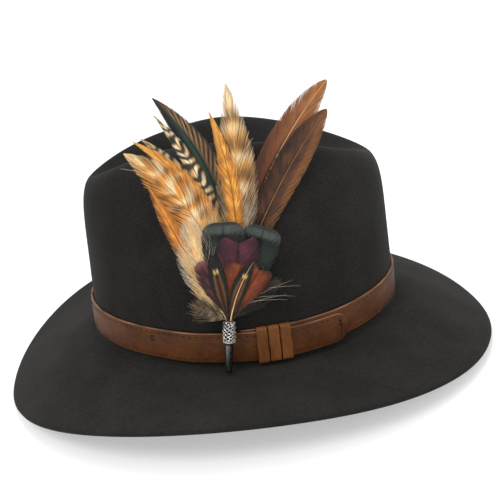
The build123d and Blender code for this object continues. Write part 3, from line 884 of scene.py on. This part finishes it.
def ferrule():
    build = Build()
    top, tip = -COLLAR_LENGTH, -COLLAR_LENGTH - FERRULE_LENGTH
    build.lathe([(2.2, top + 0.2), (2.72, top + 0.05), (2.74, top - 0.5), (2.62, top - 0.9),
                 (2.60, top - 2.0), (2.12, tip + 2.2), (2.04, tip + 0.9), (1.95, tip + 0.4),
                 (1.7, tip + 0.1), (1.35, tip), (1.15, tip + 0.3), (1.0, tip + 3.0)])
    gunmetal = metal_material("gunmetal", (0.145, 0.150, 0.150), (0.085, 0.087, 0.087), 0.22, 300)
    brooch_piece(build, "gunmetal_ferrule", "brooch_ferrule", gunmetal)


def binding():
    """Thread wound round the quills in the collar's bore."""
    build = Build()
    build.lathe([(2.2, -4.7), (2.45, -4.4), (2.45, -0.2), (2.2, 0.05)], 24)
    build.tube(helix(11, (2.55, 2.55), (-4.4, -0.1), 0.0, 220), 0.22, 5)
    thread = thread_material("binding_thread", (0.16, 0.10, 0.06))
    brooch_piece(build, "thread_binding", "quill_binding", thread)


# ---- feathers ----
HACKLE = (0.18, 2.4, 0.9)
QUILL = (0.16, 5.0, 0.75)
LEAF = (0.16, 2.6, 0.8)
PADDLE = (0.22, 5.0, 0.5)
SQUARE = (0.25, 10.0, 0.3)
TUFT = (0.12, 2.2, 0.6)


def rgb(code):
    """Linear colour of a six-digit web colour."""
    values = np.array([int(code[k:k + 2], 16) for k in (0, 2, 4)]) / 255
    return np.where(values <= 0.04045, values / 12.92, ((values + 0.055) / 1.055) ** 2.4)


def paint(base, *layers, gain=1.0):
    """Starts from a colour and lays others over it, each by its mask."""
    colour = rgb(base)
    for mask, code in layers:
        colour = mix(colour, rgb(code), np.clip(mask, 0, 1)[..., None])
    return colour * gain


def bars(s, count, duty=0.5, soft=0.12, phase=0.0):
    """Repeating cross bars, 1 inside a bar."""
    wave = np.abs(((s * count + phase) % 1) - 0.5) * 2
    return ease(wave, 1 - duty - soft, 1 - duty + soft)


def blotch(s, w, scale, low, high, seed=0.0):
    """Slow patches, 1 where their wave is above high."""
    wave = np.sin(scale * s * 1.7 + 3.1 * w + seed) + np.sin(scale * s * 0.61 - 5.3 * w + 2 * seed)
    return ease(0.5 + 0.25 * wave, low, high)


def look_tail_rear(s, w):
    low = fade(s, 0.35, 0.72)
    return paint(
        "9c5c33", (ease(s, 0.7, 1.0) * 0.7, "c98449"), (low * 0.95, "2f1b10"),
        (0.6 * ease(-w, 0.05, 0.7) * fade(s, 0.6, 0.9), "3a2114"),
        (0.6 * fade(np.abs(w), 0.1, 0.5) * fade(s, 0.5, 0.92), "5a331d"),
        (0.45 * blotch(s, w, 64, 0.55, 0.8), "6e3f22"),
        (ease(w, 0.7, 1.0) * ease(s, 0.8, 0.97) * 0.7, "e0b080"), gain=0.60)


def look_tail_front(s, w):
    margin = ease(w, 0.30, 0.70)
    base = fade(s, 0.5, 0.62)
    return paint(
        "522f1b", (blotch(s, w, 46, 0.5, 0.75, 2) * 0.6, "74451f"),
        (blotch(s, w, 90, 0.6, 0.8) * 0.7, "2e1b11"),
        (margin * (0.35 + 0.65 * bars(s, 60, 0.4, 0.2)), "b87638"),
        (margin * base * bars(s + 0.03 * w, 26, 0.55), "120e0b"),
        (ease(-w, 0.55, 0.95) * 0.7, "22140d"), (ease(s, 0.8, 1) * 0.6, "93602f"), gain=0.58)


def look_black(s, w):
    tan = ease(w, 0.10, 0.35) * ease(s, 0.40, 0.58)
    return paint(
        "0f0f0c", (fade(np.abs(w), 0.25, 0.8), "1b2823"),
        (fade(np.abs(w + 0.1), 0.05, 0.4) * 0.55, "274035"), (tan, "8f6b48"),
        (tan * bars(s + 0.07 * w, 30, 0.45), "1d1610"), (ease(w, 0.78, 0.95) * 0.8, "100e0b"),
        (ease(s, 0.9, 1.0), "2d2219"))


def look_grizzly(s, w):
    bar = bars(s - 0.02 * np.abs(w) + 0.012 * np.sin(41 * s + 2 * w), 21, 0.52, 0.16)
    return paint(
        "e2d0a8", (blotch(s, w, 14, 0.55, 0.75) * 0.75, "cf8d3f"), (bar * 0.96, "18130f"),
        (ease(s, 0.93, 1) * 0.6, "cfbb94"))


def look_blonde(s, w):
    down = fade(s, 0.44, 0.60)
    return paint(
        "c9964f", (bars(s + 0.02 * w * w, 8, 0.42, 0.3) * 0.8, "6d4826"),
        (bars(s, 8, 0.26, 0.25, 0.45) * 0.6, "e9d6b0"),
        (ease(-w, -0.1, 0.6) * 0.5 * fade(s, 0.6, 0.8), "cf8833"),
        (ease(np.abs(w), 0.6, 1.0) * 0.35, "e2cda2"), (ease(s, 0.84, 0.97) * 0.85, "ebd9b4"),
        (down * 0.85, "bdae96"), (down * blotch(s, w, 50, 0.5, 0.8) * 0.8, "5d5144"))


def look_orange(s, w):
    return paint(
        "dc9536", (fade(np.abs(w), 0.05, 0.4) * 0.55, "9a5a1c"),
        (blotch(s, w, 40, 0.55, 0.8, 1) * 0.6, "eab45c"), (bars(s, 13, 0.28, 0.2) * 0.35, "86481a"),
        (ease(s, 0.75, 1.0) * 0.6, "e8ae58"))


def look_orange_low(s, w):
    return paint(
        "c47a2c", (ease(-w, 0.2, 0.8) * 0.7, "6f3f1a"),
        (blotch(s, w, 40, 0.55, 0.8, 1) * 0.5, "df9d48"), (fade(s, 0.45, 0.62), "e6c78e"))


def look_tan_barred(s, w):
    chevron = s - 0.03 * np.abs(w) + 0.015 * np.sin(29 * s + 4 * w)
    return paint(
        "d9933c", (bars(chevron, 11, 0.40, 0.3) * ease(w, -0.8, 0.2) * 0.8, "efdcb4"),
        (bars(chevron, 11, 0.26, 0.2, 0.33) * 0.85 * blotch(s, w, 13, 0.35, 0.6), "5b3419"),
        (ease(-w, 0.55, 0.95) * 0.5, "e3a855"), (ease(s, 0.84, 1.0) * 0.8, "ecd3a0"),
        (fade(s, 0.42, 0.58), "ecd3a2"))


def look_green(s, w):
    return paint(
        "1c2722", (blotch(s, w, 20, 0.5, 0.8, 1) * 0.7, "2d3a33"),
        (fade(np.abs(w), 0.0, 0.3) * 0.35, "111814"), (ease(s, 0.80, 0.84), "090c0a"),
        (ease(s, 0.875, 0.90), "59615b"), (ease(s, 0.95, 0.98) * 0.8, "262d29"),
        (fade(s, 0.25, 0.4) * 0.7, "3c3a33"), gain=0.55)


def look_cream(s, w):
    return paint(
        "ffdcaa", (ease(np.abs(w), 0.5, 1) * 0.8, "fff4e4"),
        (blotch(s, w, 17, 0.55, 0.8) * 0.6, "e5ad5e"), (fade(s, 0.12, 0.30) * 0.7, "8e6a42"))


def look_purple(s, w):
    low = fade(s, 0.5, 0.72)
    return paint(
        "3f1725", (blotch(s, w, 18, 0.5, 0.8) * 0.6, "5a2638"), (low, "5c2712"),
        (ease(np.abs(w), 0.7, 0.95) * 0.8, "210c0f"), (ease(s, 0.93, 0.99) * 0.7, "66303f"),
        (fade(s, 0.25, 0.4), "1c120e"))


def look_maroon(s, w):
    return paint(
        "38161a", (blotch(s, w, 18, 0.5, 0.8) * 0.6, "5e3234"),
        (ease(s, 0.85, 1) * 0.8, "85565a"), (fade(s, 0.25, 0.4), "2a1d17"))


def look_rust(s, w):
    return paint(
        "6a2c11", (fade(np.abs(w), 0.05, 0.4) * 0.4, "8f4a20"),
        (blotch(s, w, 22, 0.55, 0.8) * 0.5, "8b3f1b"), (ease(np.abs(w), 0.66, 0.9) * 0.8, "2a120a"),
        (ease(s, 0.88, 0.97) * 0.8, "2c140b"), (fade(s, 0.25, 0.45) * 0.8, "1e120d"))


def look_almond(s, w):
    ring = np.maximum(np.abs(w), ease(s, 0.50, 0.98) * 0.98)
    outline = ease(ring, 0.38, 0.46) * fade(ring, 0.52, 0.60) * ease(s, 0.22, 0.42)
    return paint(
        "0f0b08", (fade(ring, 0.16, 0.28), "5c2a12"), (outline, "d2a566"),
        (fade(s, 0.18, 0.30) * 0.7, "3a2c20"))


def look_down_front(s, w):
    return paint(
        "64513d", (blotch(s, w, 25, 0.5, 0.75), "a48f70"),
        (blotch(s, w, 41, 0.6, 0.8, 3), "2a2119"))


def look_down_rear(s, w):
    return paint(
        "231b15", (blotch(s, w, 33, 0.55, 0.8) * 0.5, "382d21"),
        (ease(s, 0.80, 0.95) * ease(np.abs(w), 0.1, 0.5) * 0.6, "6a5d4c"))


# name: layer, place across the mouth, lean at start and end, length, width, style, slot, look,
# quill colour, wispiness
FEATHERS = {
    "pheasant_tail_rear": (0, 0.3, 13, 47, 154, 24, QUILL, "pheasant_tail", look_tail_rear, "d9b98a", 0.3),
    "pheasant_tail_front": (1, 0.6, 21, 44, 137, 23, QUILL, "pheasant_tail", look_tail_front, "8a643c", 0.4),
    "black_green_feather": (2, -0.6, 19, -41, 142, 26, HACKLE, "black_green", look_black, "15110d", 0.4),
    "grizzly_hackle_inner": (3, -0.9, 12, -36, 130, 13, HACKLE, "grizzly", look_grizzly, "4a3a28", 1.0),
    "grizzly_hackle_outer": (4, -1.2, 13, -48, 123, 15, HACKLE, "grizzly", look_grizzly, "4a3a28", 1.0),
    "blonde_hackle_centre": (5, 0.4, 16, -4, 138, 31, HACKLE, "blonde_barred", look_blonde, "cfa468", 1.2),
    "orange_hackle_centre": (6, 0.0, 19, -16, 124, 15, HACKLE, "orange", look_orange, "8a5424", 1.0),
    "orange_hackle_front": (7, -0.6, 15, -55, 126, 14, HACKLE, "orange", look_orange, "8a5424", 1.0),
    "barred_hackle_tan": (8, -1.0, 5, -52, 120, 34, HACKLE, "tan_barred", look_tan_barred, "b98a55", 1.2),
    "orange_hackle_low": (9, -1.6, -24, -20, 92, 15, HACKLE, "orange", look_orange_low, "7a4a20", 1.0),
    "green_feather_rear": (9, 1.6, 27, 24, 59, 26, SQUARE, "dark_green", look_green, "1c1c17", 0.3),
    "cream_fluff_front": (10, -1.6, -23, -4, 66, 30, TUFT, "cream_down", look_cream, "d8b67e", 1.6),
    "green_feather_front": (11, -0.4, 1, 5, 60, 27, SQUARE, "dark_green", look_green, "1c1c17", 0.3),
    "base_down_rear": (11, 1.2, 48, 66, 36, 20, TUFT, "grey_down", look_down_rear, "4a3e32", 1.8),
    "purple_feather": (12, 1.0, 13, 9, 52, 26, SQUARE, "purple", look_purple, "260f12", 0.4),
    "base_down_front": (12, -1.4, -60, -50, 24, 22, TUFT, "grey_down", look_down_front, "6c5b48", 1.6),
    "rust_feather_top": (13, 0.6, 19, 14, 38, 22, SQUARE, "rust", look_rust, "3c1c0e", 0.4),
    "maroon_feather_front": (13, -1.2, -14, -22, 41, 14, PADDLE, "purple", look_maroon, "260f12", 0.5),
    "rust_feather_rear": (14, 1.0, 30, 38, 38, 20, SQUARE, "rust", look_rust, "3c1c0e", 0.4),
    "almond_feather_front": (14, -1.0, -8, -6, 43, 13, LEAF, "almond", look_almond, "1c120c", 0.25),
    "almond_feather_centre": (15, 0.2, 14, 38, 39, 13, LEAF, "almond", look_almond, "d2b078", 0.25),
}
BARB_PITCH = 0.40
SPLITS = ((0.5, 5), (0.35, 9), (0.25, 23))      # how deep the vane's splits are, and how many
NOTCHED = ("purple_feather", "rust_feather_rear", "rust_feather_top")
WISPED = {"base_down_rear": (8, 19.0, "c9c0b0"), "barred_hackle_tan": (7, 9.0, "f3e4c6"),
          "blonde_hackle_centre": (8, 9.0, "efe3cb")}


def vane_width(style, share):
    first, fullness, tip = style
    v = np.clip((share - first) / (1 - first), 0, 1)
    return (1 - (1 - v) ** 2.2) ** 0.8 * (1 - v ** fullness) ** tip


def prisms(path, half, thick):
    """Three-sided tapering threads from (threads, points, 3) paths and their half widths."""
    way = unit(np.gradient(path, axis=1))
    side = unit(np.cross(way, [1.0, 0, 0]))
    face = np.cross(side, way)
    left, right, low = path - side * half[..., None], path + side * half[..., None], face * thick
    ring = np.stack([left - low, right - low, path + low], axis=2)
    count, steps = path.shape[:2]
    firsts = np.arange(count) * steps * 3
    quads = (grid_faces(steps, 3, wrap_cols=True)[None] + firsts[:, None, None]).reshape(-1, 4)
    ends = [np.stack([firsts + k for k in corners], -1)
            for corners in ((2, 1, 0), range(steps * 3 - 3, steps * 3))]
    return ring.reshape(-1, 3), quads.tolist() + np.concatenate(ends).tolist()


class Feather:
    """A feather of separate barbs on a quill, in its own plate: x off it, y across it, z up it."""

    def __init__(self, name, seed):
        (self.layer, self.across, start, end, self.length, self.width,
         self.style, self.slot, self.look, self.quill, self.wisp) = FEATHERS[name]
        self.start, self.end = math.radians(start) - BROOCH_TILT, math.radians(end) - BROOCH_TILT
        self.seed, self.rng = seed, np.random.default_rng(seed)
        self.downy = self.style is TUFT
        self.hackle = self.style is HACKLE and self.wisp > 0.6
        self.last = 0.91 if name in NOTCHED else 0.992
        self.pitch = BARB_PITCH * (0.5 if self.downy else 0.8 if self.hackle else 1.0)
        self.along = np.linspace(0, 1, 8 if self.downy or self.hackle else 6)[None, :]
        self.build, self.tint, self.vane = Build(), [], []
        for side in (-1, 1):
            self.barbs(side)
        if name in WISPED:
            self.wisps(*WISPED[name])
        self.stem()

    def put(self, verts, faces, tint, vane):
        self.build.add(verts, faces)
        self.tint.append(tint)
        self.vane.append(vane)

    def shaft(self, share):
        """Across, up and lean of the centre line, an arc from one lean to the other."""
        start, turn = self.start, (self.end - self.start) * share
        radius = self.length / (self.end - start)
        return (radius * (math.cos(start) - np.cos(start + turn)),
                radius * (np.sin(start + turn) - math.sin(start)), start + turn)

    def fluff(self, root):
        """How downy the barbs are: all of a tuft's, and the lower ones of other feathers."""
        if self.downy:
            return np.ones((len(root), 1))
        if self.hackle:
            return fade(root, 0.38, 0.60)[:, None]
        return 0.7 * fade(root, self.style[0] + 0.02, self.style[0] + 0.22)[:, None]

    def reaches(self, root, fluff, loose):
        """How far each barb runs forward, as a share of the shaft, and out, in millimetres."""
        rng, count = self.rng, len(root)
        lean = math.radians(36 if self.style in (HACKLE, TUFT) else 34)
        usual = self.width / 2 / math.tan(lean) / self.length
        ahead = np.minimum(usual, 0.8 * (1 - root))[:, None]
        splits = sum(a * ((root * n + rng.random()) % 1 - 0.5) for a, n in SPLITS)[:, None]
        ahead = ahead * (1 + 0.18 * loose * splits + 0.10 * fluff * rng.normal(size=(count, 1)))
        ahead = np.clip(ahead, 0.004, 0.99 - 0.97 * root[:, None])
        extent = self.width / 2 * vane_width(self.style, np.clip(root[:, None] + ahead, 0, 1))
        clump = np.repeat(rng.normal(size=count // 4 + 1), 4)[:count, None]
        ragged = 1 + 0.05 * loose * (rng.normal(size=(count, 1)) + 0.7 * clump)
        ragged = ragged + 0.15 * fluff * (rng.random((count, 1)) < 0.10)
        return ahead, np.maximum(extent * np.clip(ragged, 0.5, 1.18), 0.35)

    def barbs(self, side):
        """The barbs of one side, each from its root on the shaft out to the vane's outline."""
        rng, k, first = self.rng, self.along, self.style[0] * 0.6
        count = int(self.length * (1 - first) / self.pitch)
        root = np.linspace(first, self.last, count) + rng.normal(0, 0.15 * self.pitch / self.length, count)
        root = np.clip(root, 0.01, self.last + 0.002)
        fluff = self.fluff(root)
        loose = self.wisp * (1 + 0.9 * fluff)
        ahead, extent = self.reaches(root, fluff, loose)
        s = root[:, None] + ahead * k ** 1.1
        y, z, angle = self.shaft(s)
        out = extent * k ** (0.92 - 0.10 * fluff)
        bend = rng.normal(size=(count, 1)) * fluff * loose
        wave = (0.20 * loose * k ** 1.5 * np.sin(5 * k + rng.uniform(0, TURN, (count, 1))) * (1 + fluff)
                + 0.42 * bend * k ** 2)
        camber = -0.06 * out * np.abs(out) / max(1.0, self.width / 8)
        stray = 0.28 * loose * rng.normal(size=(count, 1)) * k ** 1.4
        path = np.stack([0.25 + np.clip(camber, -0.5, 0) + np.clip(stray, -1.8, 1.8),
                         y + side * out * np.cos(angle) + wave * np.sin(angle),
                         z - side * out * np.sin(angle) + wave * np.cos(angle)], -1)
        half = (0.30 - 0.20 * k ** 2) * (1 - 0.35 * fluff) * self.pitch / BARB_PITCH
        if self.wisp > 0.6:
            half = half * (1.15 - 0.60 * k)
        uneven = (0.20 if self.hackle else 0.12) * rng.normal(size=(count, 1, 1))
        shade = np.clip(self.look(s, side * np.broadcast_to(k, s.shape)) * (1 + uneven), 0, 1)
        place = points(np.arange(count)[:, None] * 0.9 + 50 * side, k * 2.5, self.seed * 3.7)
        self.put(*prisms(path, half, 0.05), *(np.repeat(v.reshape(-1, 3), 3, 0) for v in (shade, place)))

    def wisps(self, count, extra, code):
        """A few long loose barbs that stray beyond the vane."""
        rng, k = self.rng, self.along
        root = rng.uniform(0.35, 0.9, (count, 1))
        side = np.where(rng.random((count, 1)) < 0.5, -1, 1)
        y, z, angle = self.shaft(root)
        aim = angle + side * rng.uniform(0.15, 0.7, (count, 1))
        far = (self.width / 3 + extra * rng.uniform(0.3, 1.0, (count, 1))) * k
        curl = side * 0.004 * far ** 2
        path = np.stack([0.5 + 0.04 * far, y + far * np.sin(aim) + curl * np.cos(aim),
                         z + far * np.cos(aim) - curl * np.sin(aim)], -1)
        verts, faces = prisms(path, (0.085 - 0.055 * k) * np.ones((count, 1)), 0.03)
        self.put(verts, faces, np.broadcast_to(rgb(code), verts.shape), np.zeros_like(verts))

    def stem(self):
        """The quill, tapering towards the tip and taking on the vane's colour there."""
        rings, sides, off_plate = 60, 6, np.array([1.0, 0, 0])
        s = np.linspace(0, self.last + 0.003, rings)
        y, z, _ = self.shaft(s)
        size = mix(0.42, 0.10, s) * (1.0 if self.width > 8 else 0.8)
        path = np.stack([np.full_like(s, 0.30), y, z], -1)
        side = np.cross(unit(np.gradient(path, axis=0)), off_plate)
        ring = tube_rings(path, side, off_plate, size, sides, 0.8)
        tint = mix(rgb(self.quill), self.look(s, 0 * s), (0.55 * ease(s, 0.75, 1.0))[:, None])
        self.put(ring, sweep(rings, sides), np.repeat(tint, sides, 0),
                 np.repeat(points(s * 9, 0, 0), sides, 0))

    def placed(self):
        """The feather's points in the hat's frame, leaning as its layer does in the collar's mouth."""
        middle = (LAYER_COUNT - 1) / 2
        lean = math.radians(mix(*LAYER_LEANS, self.layer / (LAYER_COUNT - 1)))
        spots = np.concatenate(self.build.verts) @ turn_y(-lean).T
        return from_brooch(spots + [(self.layer - middle) * LAYER_PITCH, self.across, QUILL_FOOT])


def feathers():
    made = {}
    for seed, name in enumerate(FEATHERS, 1):
        one = Feather(name, seed)
        if one.slot not in made:
            made[one.slot] = vane_material(one.slot)
        make_piece(name + "_vane", name, "brooch", one.placed(), one.build.faces,
                   made[one.slot], np.concatenate(one.tint), np.concatenate(one.vane))


# ---- the scene ----
CAMERA_AIM = (0.0011, 0.0087, 0.0653)
CAMERA_ANGLES = (-7.53, 19.68, 7.9)      # azimuth, elevation and roll, in degrees
CAMERA_DISTANCE = 0.554
CAMERA_LENS = 57.64
FLOOR_GLOW = 0.40                        # keeps the floor near white under the brim


def floor():
    bpy.ops.mesh.primitive_plane_add(size=80, location=(0, 0, 0))
    plane = bpy.context.object
    plane.name = "floor"
    material, tree, shader = new_material("floor", (0.6, 0.6, 0.6), 0.9, specular=0.1)
    shader.inputs["Emission Color"].default_value = (1, 1, 1, 1)
    shader.inputs["Emission Strength"].default_value = FLOOR_GLOW
    tone = ramp(tree, noise(tree, 3, 2), (0.0, (0.59, 0.59, 0.59)), (1.0, (0.61, 0.61, 0.61)))
    tree.links.new(tone, shader.inputs["Base Color"])
    plane.data.materials.append(material)


def light(name, place, aim, size, watts):
    lamp = bpy.data.lights.new(name, "AREA")
    lamp.energy, lamp.size, lamp.shape = watts, size, "DISK"
    item = bpy.data.objects.new(name, lamp)
    bpy.context.scene.collection.objects.link(item)
    item.location = place
    way = np.array(aim) - np.array(place)
    item.rotation_euler = Vector(way).to_track_quat("-Z", "Y").to_euler()


def camera():
    """The view, from an aim point near the hat's axis."""
    aim = Vector(CAMERA_AIM)
    azimuth, elevation, roll = (math.radians(angle) for angle in CAMERA_ANGLES)
    outward = Vector((math.cos(elevation) * math.cos(azimuth), math.cos(elevation) * math.sin(azimuth),
                      math.sin(elevation)))
    right = (-outward).cross(Vector((0, 0, 1))).normalized()
    up = right.cross(-outward)
    up, right = up * math.cos(roll) + right * math.sin(roll), right * math.cos(roll) - up * math.sin(roll)
    data = bpy.data.cameras.new("camera")
    data.lens, data.sensor_width, data.clip_end = CAMERA_LENS, 36.0, 50
    item = bpy.data.objects.new("camera", data)
    bpy.context.scene.collection.objects.link(item)
    turn = Matrix((right, up, outward)).transposed()
    item.matrix_world = Matrix.Translation(aim + outward * CAMERA_DISTANCE) @ turn.to_4x4()
    bpy.context.scene.camera = item


def surroundings():
    world = bpy.data.worlds.new("studio")
    world.use_nodes = True
    background = world.node_tree.nodes["Background"]
    background.inputs["Color"].default_value = (1, 1, 1, 1)
    background.inputs["Strength"].default_value = 1.0
    bpy.context.scene.world = world
    bpy.context.scene.view_settings.view_transform = "Standard"
    light("key", (0.9, -0.9, 1.5), (0, 0, 0.05), 0.9, 14)
    light("fill", (1.2, 0.9, 0.9), (0, 0, 0.05), 1.2, 5)
    light("top", (-0.4, 0.1, 1.6), (0, 0, 0.1), 0.9, 7)


felt_body()
band_strap(strap_material())
sweatband()
satin = cloth_material("lining", (0.085, 0.048, 0.030), 2200.0, 0.32)
lining_side(satin)
lining_top(satin)
bow()
sweatband_stitches()
band_stitching()
tacks()
loop_leather = leather_material("keeper_leather", (0.090, 0.030, 0.0070), (0.190, 0.068, 0.0165),
                                1.2, 0.5, (1.6, 1.6, 0.15))
for loop_name, loop_y in KEEPER_CENTRES.items():
    keeper(loop_name, loop_y, loop_leather)
collar()
ferrule()
binding()
feathers()
spring = metal_material("spring_steel", (0.55, 0.55, 0.56), (0.30, 0.30, 0.31), 0.25)
for clip_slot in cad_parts["brooch_clip"].material_slots:
    clip_slot.material = spring
floor()
camera()
surroundings()
